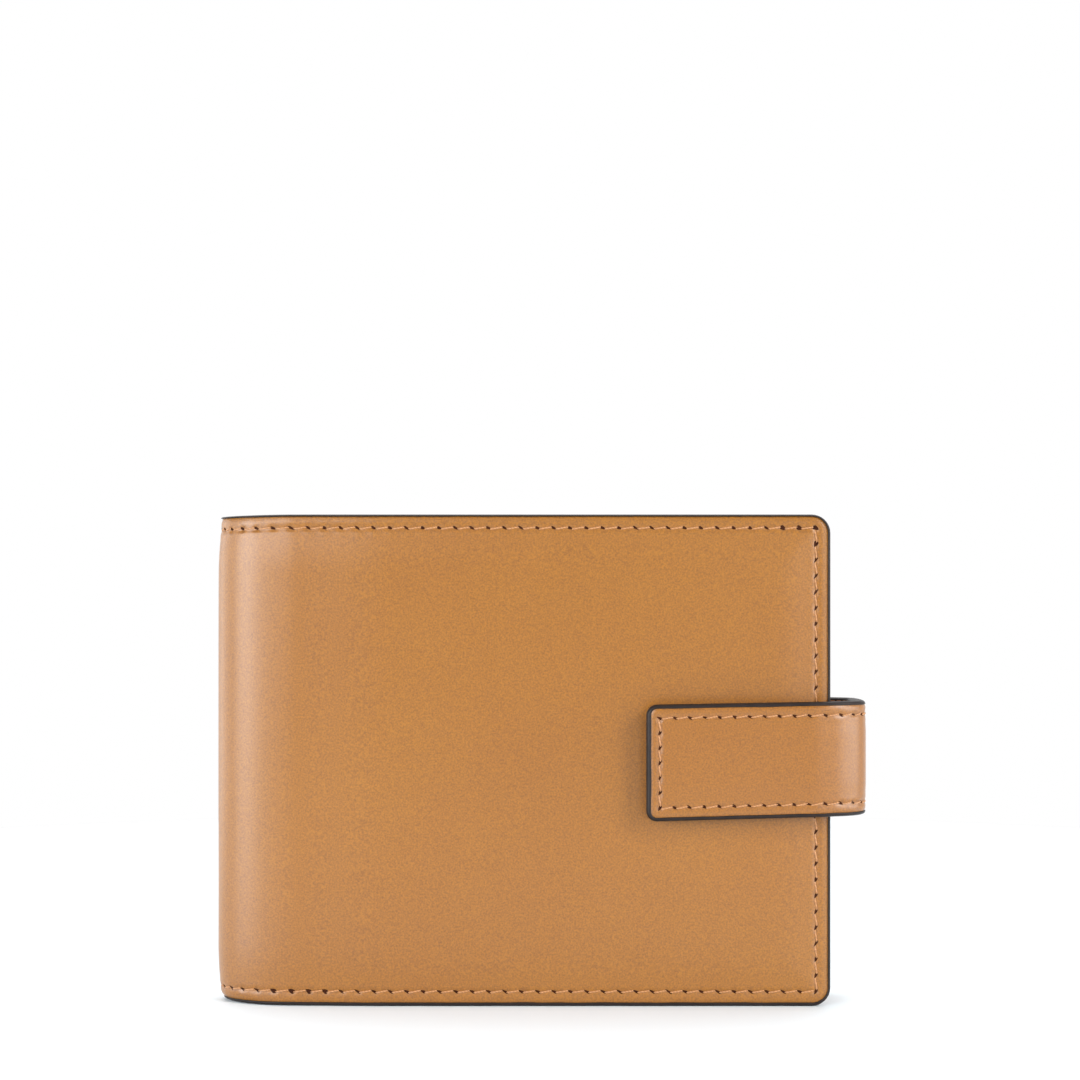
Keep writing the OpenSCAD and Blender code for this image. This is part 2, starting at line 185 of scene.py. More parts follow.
class Shape:
    """Collects vertices and faces, and makes one object of them."""

    def __init__(self):
        self.points, self.faces, self.flat, self.count = [], [], [], 0

    def add(self, points, faces, flat=False):
        """Adds some points, and faces that count from the first of them."""
        points = np.asarray(points, float).reshape(-1, 3)
        self.faces += [[i + self.count for i in f] for f in faces]
        self.flat += [flat] * len(faces)
        self.points.append(points)
        self.count += len(points)

    def make(self, name, material):
        """Makes the object."""
        mesh = bpy.data.meshes.new(name)
        mesh.from_pydata(np.concatenate(self.points).tolist(), [], self.faces)
        mesh.polygons.foreach_set("use_smooth", [not f for f in self.flat])
        mesh.materials.append(material)
        obj = bpy.data.objects.new(name, mesh)
        bpy.context.scene.collection.objects.link(obj)
        weld_mesh(mesh)
        return obj


def weld_mesh(mesh):
    """Joins what meets along the rounded edges, and turns every face outwards."""
    work = bmesh.new()
    work.from_mesh(mesh)
    bmesh.ops.remove_doubles(work, verts=work.verts, dist=0.002 * MM)
    bmesh.ops.recalc_face_normals(work, faces=work.faces)
    for edge in work.edges:
        edge.smooth = len(edge.link_faces) == 2 and all(f.smooth for f in edge.link_faces)
    work.to_mesh(mesh)
    work.free()


def grid_faces(rows, columns, turn=False):
    """The quads of a grid of points, turned over if asked."""
    faces = []
    for r in range(rows - 1):
        for c in range(columns - 1):
            a = r * columns + c
            quad = [a, a + 1, a + columns + 1, a + columns]
            faces.append(quad[::-1] if turn else quad)
    return faces


def tube_faces(rings, sides, closed=False):
    """The quads round a tube of rings of points. A closed tube's last ring joins its first."""
    total = rings * sides
    faces = []
    for r in range(rings if closed else rings - 1):
        for k in range(sides):
            a, b = r * sides + k, r * sides + (k + 1) % sides
            faces.append([a, b, (b + sides) % total, (a + sides) % total])
    return faces


def lines(low, high, fine, step, far_fine=True):
    """Grid lines from low to high: at each of the fine insets from the ends, and evenly in between."""
    reach = fine[-1]
    start = [low + f for f in fine]
    if far_fine:
        end = [high - f for f in reversed(fine)]
        inner = (low + reach, high - reach)
    else:
        end = [high]
        inner = (low + reach, high)
    count = max(2, int(round((inner[1] - inner[0]) / step)))
    middle = list(np.linspace(inner[0], inner[1], count + 1)[1:-1])
    return np.array(start + middle + end)


def round_corner(s, z, corner, out_s, out_z, r):
    """Moves grid points in a corner's square of side r onto a quarter disc."""
    u = (s - (corner[0] - out_s * r)) * out_s / r
    v = (z - (corner[1] - out_z * r)) * out_z / r
    inside = (u > 0) & (v > 0)
    u2 = u * np.sqrt(np.clip(1 - v * v / 2, 0, 1))
    v2 = v * np.sqrt(np.clip(1 - u * u / 2, 0, 1))
    s = np.where(inside, corner[0] - out_s * r * (1 - u2), s)
    z = np.where(inside, corner[1] - out_z * r * (1 - v2), z)
    return s, z


def edge_distance(s, z, s_range, z_range, r, seam):
    """Distance from the outline of a rectangle with round corners. A seam side has no edge."""
    ds = s - s_range[0] if seam else np.minimum(s - s_range[0], s_range[1] - s)
    dz = np.minimum(z - z_range[0], z_range[1] - z)
    corner = (ds < r) & (dz < r)
    return np.where(corner, r - np.hypot(r - ds, r - dz), np.minimum(ds, dz))


ROUNDING = (0, 0.03, 0.12, 0.3, 0.6, 1)  # grid lines over a rounded edge, in widths of the edge
PLAIN_LINES, PLAIN_GRID = [1 * MM, 3 * MM], 4 * MM  # for a sheet with plain faces
BEND_STEP = 0.45 * MM           # between grid lines round the fold


def sheet_grid(s_range, z_range, r, edge, seam, fine, step):
    """A sheet's grid: fine along its edges and round the fold, with round corners."""
    fine = [edge * q for q in ROUNDING] + [f for f in fine if f > edge]
    s_lines = lines(*s_range, fine, step, far_fine=not seam)
    if seam:
        keep = s_lines[s_lines < min(FOLD_START, s_range[1]) - 0.5 * MM]
        count = max(3, int((s_range[1] - keep[-1]) / BEND_STEP))
        bend = np.linspace(keep[-1], s_range[1], count)[1:]
        s_lines = np.concatenate((keep, bend[:-1], [s_range[1] - 0.06 * MM, s_range[1]]))
    s, z = np.meshgrid(s_lines, lines(*z_range, fine, step))
    for out_z, side in ((-1, z_range[0]), (1, z_range[1])):
        s, z = round_corner(s, z, (s_range[0], side), -1, out_z, r)
        if not seam:
            s, z = round_corner(s, z, (s_range[1], side), 1, out_z, r)
    return s, z


def sheet(panel, s_range, z_range, r, near, far, seam, fine, step, edge=None, relief=None, shift=None):
    """The shape of a sheet of leather between two depths, with edges rounded over a width of edge.

    relief(s, z) lowers the outer face, and shift(s, z) moves the whole sheet in depth."""
    t = (far - near) / 2
    edge = edge or t
    s, z = sheet_grid(s_range, z_range, r, edge, seam, fine, step)
    d = edge_distance(s, z, s_range, z_range, r, seam)
    dome = t * (1 - np.sqrt(np.clip(1 - np.clip(1 - d / edge, 0, 1) ** 2, 0, 1)))
    moved = shift(s, z) if shift else 0
    middle = (near + far) / 2 + moved + 0 * s
    inner = far + moved - dome
    outer = np.minimum(near + moved + dome + (relief(s, z) if relief else 0), inner)
    rim = d < 1e-7
    outer, inner = np.where(rim, middle, outer), np.where(rim, middle, inner)
    rows, columns = s.shape
    shape = Shape()
    shape.add(panel.at(s, z, outer), grid_faces(rows, columns))
    shape.add(panel.at(s, z, inner), grid_faces(rows, columns, turn=True))
    if seam:
        cap = np.stack((panel.at(s, z, outer)[:, -1], panel.at(s, z, inner)[:, -1]), 1)
        shape.add(cap, grid_faces(rows, 2), flat=True)
    return shape


def outline(s_range, z_range, r, seam, step=1.0 * MM):
    """Points round a rectangle with round corners, with their outward normals, from seam to seam."""
    (s0, s1), (z0, z1) = s_range, z_range
    points = []

    def run(a, b, normal):
        count = max(2, int(math.hypot(b[0] - a[0], b[1] - a[1]) / step))
        for k in range(count):
            q = k / count
            points.append((a[0] + (b[0] - a[0]) * q, a[1] + (b[1] - a[1]) * q, *normal))

    def turn(centre, start):
        for k in range(8):
            a = math.radians(start + 90 * k / 8)
            u, v = math.cos(a), math.sin(a)
            points.append((centre[0] + r * u, centre[1] + r * v, u, v))

    end = s1 if seam else s1 - r
    run((end, z1), (s0 + r, z1), (0, 1))
    turn((s0 + r, z1 - r), 90)
    run((s0, z1 - r), (s0, z0 + r), (-1, 0))
    turn((s0 + r, z0 + r), 180)
    run((s0 + r, z0), (end, z0), (0, -1))
    if seam:
        points.append((end, z0, 0, -1))
    else:
        turn((s1 - r, z0 + r), 270)
        run((s1, z0 + r), (s1, z1 - r), (1, 0))
        turn((s1 - r, z1 - r), 0)
    return np.array(points)


def paint_edge(panel, chain, near, far, reach):
    """The shape of a painted edge: its section carried along a chain of outline points.

    The section is a dome outside, closed by a back inside the leather. reach(normal_z) is how far the
    paint comes in over the leather, and it wavers a little, as hand-laid paint does."""
    half, centre, steps = (far - near) / 2, (far + near) / 2, 14
    arc = np.linspace(math.pi / 2, -math.pi / 2, steps + 1)
    inset = np.concatenate((1 - np.cos(arc) ** 0.85, [1.2, 1.2]))
    depth = np.concatenate((centre - half * np.sin(arc), [far - 0.35 * MM, near + 0.35 * MM]))
    waver = np.array([noise.noise(Vector((p[0], p[1], 0.01)) / (5 * MM)) for p in chain])
    width = np.array([reach(p[3]) for p in chain]) * (1 + 0.12 * waver)
    s = chain[:, 0, None] - chain[:, 2, None] * inset * width[:, None]
    z = chain[:, 1, None] - chain[:, 3, None] * inset * width[:, None]
    points = panel.at(s, z, np.broadcast_to(depth, s.shape))
    rings, sides = s.shape
    shape = Shape()
    shape.add(points, tube_faces(rings, sides))
    for end in (points[0], points[-1]):
        shape.add(end, [list(range(sides))], flat=True)
    return shape


# ---- Stitching ----

STITCH_INSET = 2.8 * MM         # from the stitch line to the edge
TOP_INSET = 2.55 * MM           # the same along the covers' top
TAB_INSET = 2.5 * MM            # the same on the tab
PITCH, TAB_PITCH = 3.05 * MM, 2.75 * MM  # from hole to hole
THREAD_R = 0.135 * MM
THREAD_SLANT = 0.5 * MM         # how far a stitch slants across its line
SLIT_LEAN = math.radians(28)    # a hole's angle to its stitch line
SLIT_LONG, SLIT_WIDE = 0.62 * MM, 0.24 * MM  # half its length and width
BOLD_LONG, BOLD_WIDE = 0.62 * MM, 0.42 * MM  # the same where thread was run back or tied off
SLIT_RINGS = ((1.0, 0.0), (0.88, 0.06), (0.45, 0.08), (0, 0.08))  # its share of size, and mm above
CHANNEL, CHANNEL_REACH = 0.1 * MM, 0.42 * MM  # depth and half width of the groove along a stitch line
PUCKER = 0.17 * MM              # how far the leather is drawn in at a hole


def holes_along(points, pitch):
    """Hole places along a run of corner points, with a hole at each corner."""
    holes = [points[0]]
    for a, b in zip(points, points[1:]):
        count = max(1, round(math.dist(a, b) / pitch))
        for k in range(1, count + 1):
            holes.append((a[0] + (b[0] - a[0]) * k / count, a[1] + (b[1] - a[1]) * k / count))
    return holes


def puckered(surface, holes):
    """A surface's depth with the leather drawn in at each hole, and puffed up a little round it."""
    def depth(s, z):
        s, z = np.broadcast_arrays(np.asarray(s, float), np.asarray(z, float))
        nearest = np.full(s.shape, 1.0)
        for h in holes:
            np.minimum(nearest, np.hypot(s - h[0], z - h[1]), out=nearest)
        dip = np.exp(-(nearest / (0.45 * MM)) ** 2)
        puff = np.exp(-((nearest - 1.05 * MM) / (0.4 * MM)) ** 2)
        return surface(s, z) + PUCKER * dip - 0.3 * PUCKER * puff
    return depth


def stitch_row(threads, slits, panel, holes, surface, outside=1, bold=()):
    """A slanted stitch between each two holes, and a dark slit at each hole, painted as the shade inside
    it.
    """
    for a, b in zip(holes, holes[1:]):
        stitch(threads, panel, a, b, surface, outside)
    for k, hole in enumerate(holes):
        a, b = holes[max(k - 1, 0)], holes[max(k, 1)]
        slit(slits, panel, hole, (b[0] - a[0], b[1] - a[1]), surface, outside, k in bold)


def stitch(shape, panel, a, b, surface, outside):
    """One stitch from hole a to hole b: a rounded thread that slants and dips into the holes."""
    length = math.dist(a, b)
    along = ((b[0] - a[0]) / length, (b[1] - a[1]) / length)
    across = (-along[1], along[0])
    wave = noise.noise(Vector((a[0], a[1], 0.3)) * 900)
    sides = 8
    q = np.linspace(0.1, 0.9, 9)[:, None]
    turn = np.linspace(0, 2 * math.pi, sides, endpoint=False)
    width = THREAD_R * (0.7 + 0.3 * np.sin(math.pi * q)) * (1 + 0.1 * wave)
    off = (0.5 - q) * THREAD_SLANT * panel.lean * (1 + 0.3 * wave) + np.cos(turn) * width
    up = 0.2 * MM * np.sin(math.pi * (q - 0.1) / 0.8) ** 0.7 - 0.1 * MM + np.sin(turn) * width * 0.8
    s = a[0] + along[0] * length * q + across[0] * off
    z = a[1] + along[1] * length * q + across[1] * off
    points = panel.at(s, z, surface(s.mean(), z.mean()) - outside * up)
    rings = len(q)
    caps = [list(range(sides))[::-1], list(range((rings - 1) * sides, rings * sides))]
    shape.add(points, tube_faces(rings, sides) + caps)


def slit(shape, panel, hole, run, surface, outside, bold):
    """A pricked hole: a slanted dark lens in the leather's face, pointed at its trailing end; its
    darkness is painted shade of the hole.
    """
    wave = noise.noise(Vector((hole[0], hole[1], 0.7)) * 700)
    angle = math.atan2(run[1], run[0]) + SLIT_LEAN * panel.lean + 0.3 * wave
    u, v = (math.cos(angle), math.sin(angle)), (-math.sin(angle), math.cos(angle))
    if bold:
        long, wide = BOLD_LONG, BOLD_WIDE
    else:
        long, wide = SLIT_LONG * (1 + 0.5 * wave), SLIT_WIDE * (1 - 0.4 * wave)
    sides, points = 12, []
    for share, up in SLIT_RINGS:
        for k in range(sides if share else 1):
            a = 2 * math.pi * k / sides
            p = long * share * math.cos(a)
            q = wide * share * math.sin(a) * (1 - 0.45 * math.cos(a))
            points.append((hole[0] + u[0] * p + v[0] * q, hole[1] + u[1] * p + v[1] * q, up * MM))
    points = np.array(points + [(hole[0], hole[1], -0.3 * MM)])
    depth = surface(points[:, 0], points[:, 1]) - outside * points[:, 2]
    rings = 3
    faces = tube_faces(rings, sides)
    middle = rings * sides
    faces += [[middle - sides + c, middle - sides + (c + 1) % sides, middle] for c in range(sides)]
    faces += [[(c + 1) % sides, c, middle + 1] for c in range(sides)]
    shape.add(panel.at(points[:, 0], points[:, 1], depth), faces)


# ---- Materials ----

def srgb(r, g, b):
    """A colour given as 0 to 255 display values, as the shader's linear values."""
    shares = [v / 255 for v in (r, g, b)]
    linear = [v / 12.92 if v <= 0.04045 else ((v + 0.055) / 1.055) ** 2.4 for v in shares]
    return (*linear, 1.0)


def tint(colour, factor):
    """A colour with each channel multiplied."""
    return (*(min(1.0, c * f) for c, f in zip(colour[:3], factor)), 1.0)


def set_inputs(node, values):
    """Sets some of a node's inputs."""
    for name, value in values.items():
        node.inputs[name].default_value = value


class Nodes:
    """A short way to write a node material."""

    def __init__(self, name, colour):
        self.colour = colour
        self.material = bpy.data.materials.new(name)
        self.material.use_nodes = True
        self.material.diffuse_color = colour
        self.tree = self.material.node_tree
        self.shader = self.tree.nodes["Principled BSDF"]
        set_inputs(self.shader, {"Base Color": colour})
        self.place = self.node("ShaderNodeTexCoord").outputs["Object"]

    def node(self, kind, **settings):
        """Adds a node."""
        made = self.tree.nodes.new(kind)
        for key, value in settings.items():
            setattr(made, key, value)
        return made

    def link(self, output, target):
        self.tree.links.new(output, target)

    def noise(self, scale, detail=3.0, roughness=0.55, stretch=None):
        """A noise over the object, stretched if asked."""
        made = self.node("ShaderNodeTexNoise")
        set_inputs(made, {"Scale": scale, "Detail": detail, "Roughness": roughness})
        source = self.place
        if stretch:
            mapping = self.node("ShaderNodeMapping")
            set_inputs(mapping, {"Scale": stretch})
            self.link(self.place, mapping.inputs["Vector"])
            source = mapping.outputs["Vector"]
        self.link(source, made.inputs["Vector"])
        return made.outputs["Fac"]

    def cells(self, scale):
        """Soft cells, as the pebbles of a leather's grain."""
        made = self.node("ShaderNodeTexVoronoi", feature="SMOOTH_F1")
        set_inputs(made, {"Scale": scale, "Smoothness": 0.6})
        self.link(self.place, made.inputs["Vector"])
        return made.outputs["Distance"]

    def ranged(self, source, low, high):
        """A noise's usual range, 0.3 to 0.7, stretched to another."""
        made = self.node("ShaderNodeMapRange")
        set_inputs(made, {"From Min": 0.3, "From Max": 0.7, "To Min": low, "To Max": high})
        self.link(source, made.inputs["Value"])
        return made.outputs["Result"]

    def blend(self, factor, a, b, mode="MIX"):
        """Blends two colours, given as tuples or as outputs. No factor blends them fully."""
        made = self.node("ShaderNodeMix", data_type="RGBA", blend_type=mode)
        set_inputs(made, {"Factor": 1.0})
        if factor is not None:
            self.link(factor, made.inputs["Factor"])
        first = [i.type for i in made.inputs].index("RGBA")
        for k, value in enumerate((a, b)):
            if isinstance(value, tuple):
                made.inputs[first + k].default_value = value
            else:
                self.link(value, made.inputs[first + k])
        return next(o for o in made.outputs if o.type == "RGBA")

    def tones(self, factor, dark, light):
        """The material's colour between two tints of it."""
        return self.blend(factor, tint(self.colour, dark), tint(self.colour, light))

    def bump(self, source, distance, strength=1.0, under=None):
        """A bump, laid over another if asked."""
        made = self.node("ShaderNodeBump")
        set_inputs(made, {"Strength": strength, "Distance": distance})
        self.link(source, made.inputs["Height"])
        if under is not None:
            self.link(under, made.inputs["Normal"])
        return made.outputs["Normal"]

    def finish(self, colour, roughness, normal, **sockets):
        """Links colour, roughness and bump, sets the other sockets and gives the material."""
        for source, name in ((colour, "Base Color"), (roughness, "Roughness"), (normal, "Normal")):
            self.link(source, self.shader.inputs[name])
        set_inputs(self.shader, {key.replace("_", " "): value for key, value in sockets.items()})
        return self.material


def leather(name, colour, rough=(0.4, 0.48), grain=1.0, coat=1.0):
    """Smooth calf leather: cloudy tone, a fine mottle, a fine grain and a soft gloss."""
    n = Nodes(name, colour)
    cloud = n.tones(n.ranged(n.noise(30, 3), 0, 1), (0.97, 0.95, 0.92), (1.03, 1.05, 1.07))
    dark, light = (0.55, 0.51, 0.4, 1.0), (1.0, 1.0, 1.0, 1.0)
    mottle = n.blend(n.ranged(n.noise(3100, 2, 0.6), 0, 1), dark, light)
    toned = n.blend(None, cloud, mottle, "MULTIPLY")
    pebble = n.bump(n.cells(1900), 0.05 * MM * grain, 0.6)
    fine = n.bump(n.noise(4200, 2), 0.02 * MM * grain, 0.5, under=pebble)
    slow = n.bump(n.noise(190, 2), 0.05 * MM, 0.35, under=fine)
    gloss = n.ranged(n.noise(700, 3), *rough)
    return n.finish(toned, gloss, slow, Coat_Weight=coat, Coat_Roughness=0.36, Specular_IOR_Level=0.3)


def suede(name, colour):
    """Skived lining leather: matt, with a short nap."""
    n = Nodes(name, colour)
    cloud = n.tones(n.ranged(n.noise(120, 4), 0, 1), (0.85,) * 3, (1.12,) * 3)
    nap = n.blend(n.ranged(n.noise(3200, 2), 0, 0.35), cloud, tint(colour, (1.5, 1.45, 1.4)))
    fuzz = n.bump(n.noise(4200, 3), 0.05 * MM, 0.5)
    return n.finish(nap, n.ranged(n.noise(900), 0.72, 0.9), fuzz, Sheen_Weight=0.25, Sheen_Roughness=0.5)


def paint(name, colour):
    """Edge paint: a thick, slightly uneven satin coat."""
    n = Nodes(name, colour)
    cloud = n.tones(n.ranged(n.noise(420, 3), 0, 1), (0.75,) * 3, (1.35, 1.3, 1.3))
    slow = n.bump(n.noise(700, 3), 0.06 * MM, 0.5)
    fine = n.bump(n.noise(4000, 2), 0.02 * MM, 0.4, under=slow)
    return n.finish(cloud, n.ranged(n.noise(1400, 3), 0.36, 0.52), fine, Specular_IOR_Level=0.25)


def thread_material(name, colour):
    """Waxed thread, with the ridges of its twist, and painted shade in the grooves between them."""
    n = Nodes(name, colour)
    twist = n.node("ShaderNodeTexWave", wave_type="BANDS", bands_direction="DIAGONAL")
    set_inputs(twist, {"Scale": 900, "Distortion": 2.5})
    n.link(n.place, twist.inputs["Vector"])
    strand_relief_and_shade = twist.outputs["Fac"]
    # painted shade: the thread is darker in the grooves of its twist, where the bump lies low
    tone = n.tones(strand_relief_and_shade, (0.82, 0.78, 0.74), (1.12, 1.12, 1.12))
    ridges = n.bump(strand_relief_and_shade, 0.05 * MM, 0.5)
    return n.finish(tone, n.ranged(n.noise(2000), 0.45, 0.65), ridges, Sheen_Weight=0.15)


def painted_hole_shade(name, colour):
    """Painted shade inside a pricked hole, with the uneven tone of its torn leather."""
    n = Nodes(name, colour)
    shade = n.tones(n.ranged(n.noise(2500), 0, 1), (0.7,) * 3, (1.5, 1.4, 1.3))
    torn = n.bump(n.noise(5000), 0.03 * MM, 0.5)
    return n.finish(shade, n.ranged(n.noise(1500), 0.75, 0.95), torn, Specular_IOR_Level=0.1)


def board_material(name, colour):
    """Pressed fibre board."""
    n = Nodes(name, colour)
    fibre = n.tones(n.ranged(n.noise(900, 4, stretch=(1, 1, 5)), 0, 1), (0.75,) * 3, (1.2,) * 3)
    return n.finish(fibre, n.ranged(n.noise(500), 0.8, 0.95), n.bump(n.noise(1800, 4), 0.04 * MM, 0.5))


def metal_material(name, colour):
    """Satin plated brass with fine handling marks."""
    n = Nodes(name, colour)
    tone = n.tones(n.ranged(n.noise(300, 4), 0, 1), (0.78, 0.74, 0.7), (1.1,) * 3)
    marks = n.bump(n.noise(1600, 4, stretch=(1, 1, 8)), 0.008 * MM, 0.6)
    return n.finish(tone, n.ranged(n.noise(700, 4), 0.2, 0.38), marks, Metallic=1.0)


def film_material(name, colour):
    """Clear flexible film."""
    n = Nodes(name, colour)
    tone = n.tones(n.ranged(n.noise(60), 0, 1), (0.97,) * 3, (1.03,) * 3)
    waves = n.bump(n.noise(45, 2), 0.12 * MM, 0.4)
    return n.finish(tone, n.ranged(n.noise(90, 2), 0.03, 0.09), waves, Transmission_Weight=1.0, IOR=1.47)


TAN = srgb(154, 97, 8)
INNER_TAN = tint(TAN, (0.86, 0.8, 0.74))
outer_leather = leather("outer_leather", TAN)
tab_leather = leather("tab_leather", tint(TAN, (0.985, 0.965, 0.985)))
inner_leather = leather("inner_leather", INNER_TAN, rough=(0.5, 0.62), grain=0.8, coat=0.1)
lining_leather = suede("lining_leather", srgb(140, 92, 58))
edge_paint = paint("edge_paint", srgb(32, 25, 23))
thread = thread_material("thread", srgb(182, 130, 84))
# painted shade: the stitch holes are dark lenses that stand in for the shade inside each hole
hole_shade_paint = painted_hole_shade("stitch_hole_shade", srgb(52, 26, 14))
board = board_material("board", srgb(176, 166, 148))
snap_metal = metal_material("snap_metal", srgb(196, 178, 140))
film = film_material("window_film", (0.93, 0.95, 0.95, 1.0))


# ---- Bend points, baked places and the CAD nodes each piece stands for ----

FOLD_FROM, FOLD_TO = FOLD_START + 2 * MM, SEAM - 0.8 * MM
BACK_BEND = (covers[1].point(FOLD_FROM, HEIGHT / 2), covers[1].point(FOLD_TO, HEIGHT / 2))
FRONT_BEND = (covers[-1].point(FOLD_TO, HEIGHT / 2), covers[-1].point(FOLD_FROM, HEIGHT / 2))
TAB_FROM, TAB_TO = TAB_LEG + 0.2 * MM, TAB_LEG + TAB_R * math.pi / 2 - 0.2 * MM
TAB_BACK_BEND = (tabs[1].point(TAB_FROM), tabs[1].point(TAB_TO))
TAB_FRONT_BEND = (tabs[-1].point(TAB_TO), tabs[-1].point(TAB_FROM))


def bend_cover(obj, side):
    """Bakes a cover piece's place into its mesh; it is not bent, and both sides are treated alike."""
    if side > 0:
        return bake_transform(obj)
    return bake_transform(obj)


def bend_tab(obj, side):
    """Bakes a tab piece's place into its mesh; it is not bent, and both sides are treated alike."""
    if side > 0:
        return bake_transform(obj)
    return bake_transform(obj)


def cover_nodes(side, kind):
    """The CAD nodes that a piece of a cover stands for. The back's pieces stand for the spine's too."""
    return ["back_" + kind, "spine_" + kind] if side > 0 else ["front_" + kind]


def tab_nodes(side, kind):
    """The CAD nodes that a piece of the tab stands for. The back's pieces stand for the bend's too."""
    return ["tab_root_" + kind, "tab_bend_" + kind] if side > 0 else ["tab_end_" + kind]


# ---- The covers ----

EDGE_LINES = [q * MM for q in (0.55, 0.8, 1.1, 1.5, 1.9, 2.15, 2.3, 2.45, 2.6, 2.75, 2.9, 3.05, 3.2,
                               3.5, 3.9, 4.4)]
GRID = 0.62 * MM                # fine enough for the puckers along the stitches
LEATHER_INSET = 0.22 * MM       # the leather's own edge, under the paint
LEATHER_EDGE = 0.3 * MM         # the width over which it is rounded
LINING_INSET = 0.4 * MM
LINING_UNDER = 0.3 * MM         # how far the lining reaches into the board
BORDER_DROP = 0.5 * MM          # how much lower the border lies than the padded panel
BORDER_REACH = 8.5 * MM         # over which the panel rises from its border
PAINT_START = 0.36 * MM         # depth of the paint's outer side


def cover_surface(s, z):
    """Depth of a cover's outer face: a low sewn border with its stitch channel, and a padded panel."""
    s, z = np.asarray(s, float), np.asarray(z, float)
    d = edge_distance(s, z, (0, SEAM), (0, HEIGHT), CORNER_R, True)
    border = BORDER_DROP * (1 - np.clip((d - STITCH_INSET + 0.4 * MM) / BORDER_REACH, 0, 1)) ** 2
    channel = CHANNEL * np.exp(-((d - STITCH_INSET) / CHANNEL_REACH) ** 2)
    rolled = 0.2 * MM * (1 - smooth((d - 0.25 * MM) / (1.1 * MM)))
    return border + channel + rolled


def cover_holes():
    """Along the top from the fold, down the free edge and back along the foot to the fold."""
    end, top, i = SEAM - 1.5 * MM, HEIGHT - TOP_INSET, STITCH_INSET
    return holes_along([(end, top), (i, top), (i, i), (end, i)], PITCH)


def cover_paint_reach(normal_z):
    """The paint is widest along the foot and narrowest along the top."""
    return (0.44 - 0.1 * max(normal_z, 0) + 0.22 * max(-normal_z, 0)) * MM


def make_cover_leather(side, face):
    """The outer leather, out to half the fold."""
    inset = LEATHER_INSET
    shape = sheet(covers[side], (inset, SEAM), (inset, HEIGHT - inset), CORNER_R - inset, 0, LEATHER_T,
                  True, EDGE_LINES, GRID, edge=LEATHER_EDGE, relief=face)
    cover = shape.make(f"{SIDES[side]}_cover_leather", outer_leather)
    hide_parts(*cover_nodes(side, "cover"))
    bend_cover(cover, side)


def make_cover_edge(side):
    chain = outline((0, SEAM), (0, HEIGHT), CORNER_R, True)
    shape = paint_edge(covers[side], chain, PAINT_START, EDGE_T, cover_paint_reach)
    bead = shape.make(f"{SIDES[side]}_cover_edge", edge_paint)
    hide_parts(*cover_nodes(side, "edge_bead"))
    bend_cover(bead, side)


def make_cover_lining(side):
    inset = LINING_INSET
    shape = sheet(covers[side], (inset, SEAM), (inset, HEIGHT - inset), CORNER_R - inset,
                  LINING[0] - LINING_UNDER, LINING[1], True, [2 * MM, 5 * MM], 4 * MM, edge=LEATHER_EDGE)
    lining = shape.make(f"{SIDES[side]}_note_lining", lining_leather)
    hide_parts(*cover_nodes(side, "lining"))
    bend_cover(lining, side)


def make_stiffener(side):
    """The board, which ends where the cover begins to curve."""
    name = SIDES[side]
    low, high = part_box(f"{name}_board")
    shape = sheet(covers[side], (RIGHT - high.x, FOLD_START + 0.5 * MM), (low.z, high.z), 3 * MM,
                  *depths("back_board"), False, PLAIN_LINES, PLAIN_GRID)
    stiffener = shape.make(f"{name}_stiffener", board)
    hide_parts(f"{name}_board")
    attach(stiffener, f"{name}_panel")


def make_cover_stitching(side, holes, face):
    """The front's holes are bold at the top corner of the free edge and near the foot of the fold."""
    name = SIDES[side]
    corner = [hole[0] for hole in holes].index(STITCH_INSET)
    near_fold = len(holes) - 9
    bold = [*range(corner - 3, corner + 1), *range(near_fold, near_fold + 4)] if side < 0 else []
    threads, slits = Shape(), Shape()
    stitch_row(threads, slits, covers[side], holes, face, bold=bold)
    row = threads.make(f"{name}_cover_thread", thread)
    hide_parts(*cover_nodes(side, "stitching"))
    bend_cover(row, side)
    bend_cover(slits.make(f"{name}_cover_stitch_holes", hole_shade_paint), side)


def make_cover(side):
    """A cover and its half of the fold."""
    holes = cover_holes()
    face = puckered(cover_surface, holes)
    make_cover_leather(side, face)
    make_cover_edge(side)
    make_cover_lining(side)
    make_stiffener(side)
    make_cover_stitching(side, holes, face)


# ---- The inside of a half: divider, card slots and their stitching ----

INSIDE_LINES = [q * MM for q in (0.8, 1.2, 1.45, 1.7, 2.1, 3.2, 5)]
INSIDE_GRID = 3 * MM


def pinch(s, z):
    """The layers come together where they are sewn, at the free edge and along the bottom."""
    d = np.minimum(s, z) - DIVIDER_INSET
    return -0.85 * NOTE_GAP * (1 - smooth(d / (8 * MM)))


def inside_surface(s, z):
    """Depth of the innermost face at a place: the divider's, or that of the slot that covers it."""
    s, z = np.asarray(s, float), np.asarray(z, float)
    depth = np.full(np.broadcast(s, z).shape, DIVIDER[1])
    for (near, far), top in zip(SLOTS, SLOT_TOPS):
        depth = np.where((s > SLOT_S[0]) & (s < SLOT_S[1]) & (z < top), far, depth)
    return depth + pinch(s, z)


def make_divider(side):
    inset = DIVIDER_INSET
    shape = sheet(covers[side], (inset, SEAM), (inset, DIVIDER_TOP), CORNER_R - inset, *DIVIDER, True,
                  INSIDE_LINES, INSIDE_GRID, shift=pinch)
    divider = shape.make(f"{SIDES[side]}_note_divider", inner_leather)
    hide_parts(*cover_nodes(side, "divider"))
    bend_cover(divider, side)


def make_card_slots(side):
    name = SIDES[side]
    for i, ((near, far), top) in enumerate(zip(SLOTS, SLOT_TOPS), 1):
        shape = sheet(covers[side], SLOT_S, (SLOT_LOW.z, top), 1.6 * MM, near, far, False, INSIDE_LINES,
                      INSIDE_GRID, shift=pinch)
        slot = shape.make(f"{name}_card_pocket_{i}", inner_leather)
        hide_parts(f"{name}_card_slot_{i}")
        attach(slot, f"{name}_panel")


